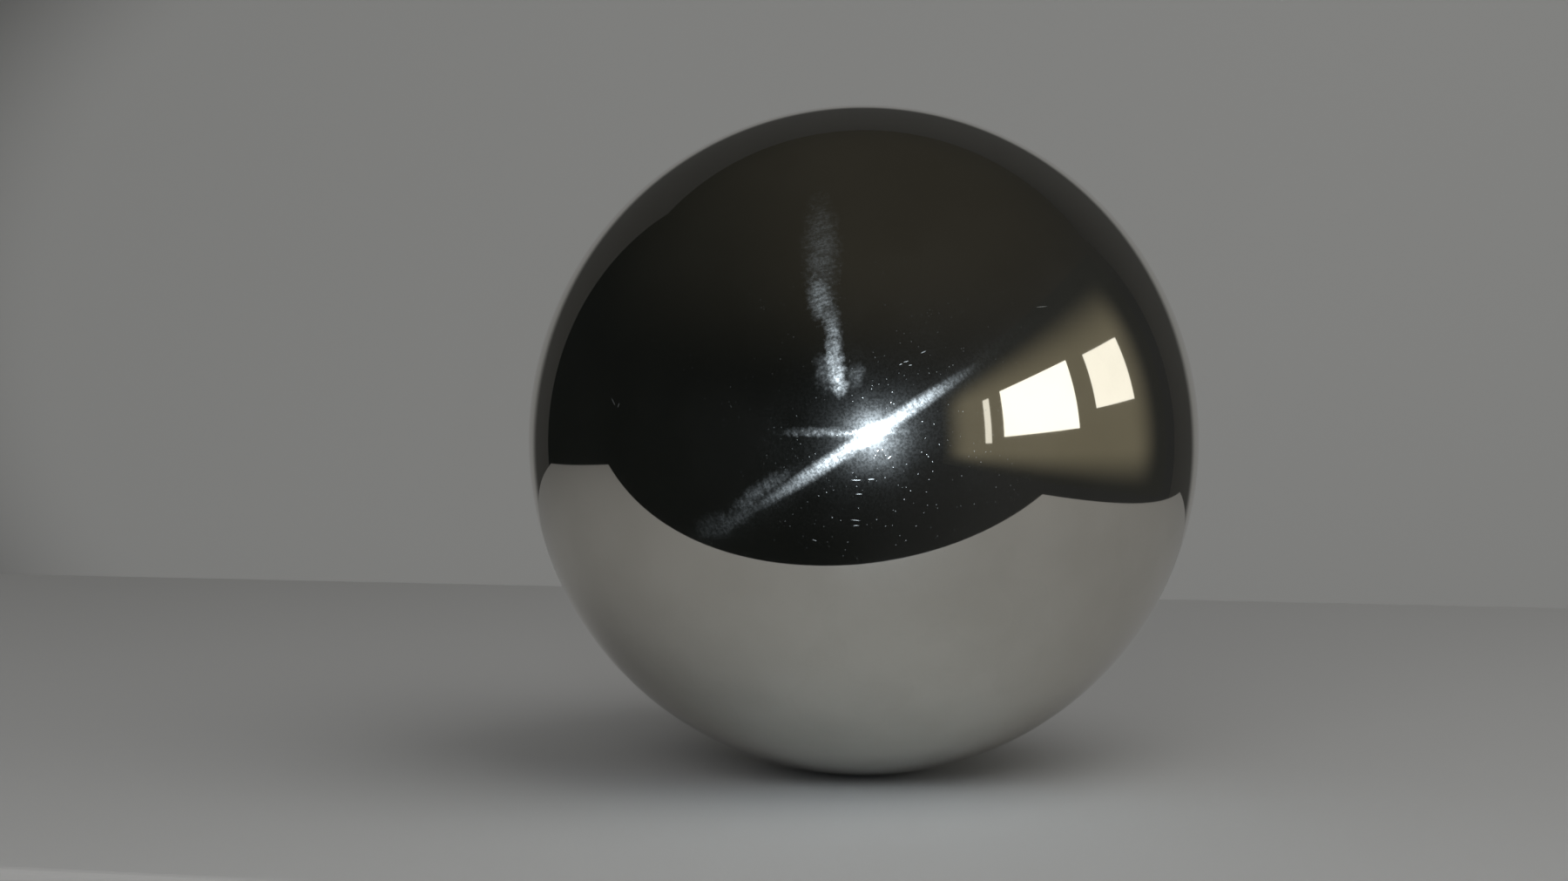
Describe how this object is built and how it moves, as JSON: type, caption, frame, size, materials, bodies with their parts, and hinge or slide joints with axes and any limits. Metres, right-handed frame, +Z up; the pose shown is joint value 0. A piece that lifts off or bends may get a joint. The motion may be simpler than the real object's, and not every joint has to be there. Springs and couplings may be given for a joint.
{
  "type": "steel ball",
  "caption": "Mirror-polished steel ball, round all over, with no flat, bore or seam; it rests in a ring, cup or socket.",
  "frame": {"origin": "the centre of the ball", "axes": "+Z up as the ball stands in its seat, +X to the right and +Y away from the viewer in the picture's view; the ball is round about every axis"},
  "size_m": [0.2, 0.2, 0.2],
  "materials": {
    "polished_steel": "polished"
  },
  "bodies": {
    "root": {"steel_ball": "polished_steel"}
  },
  "joints": []
}
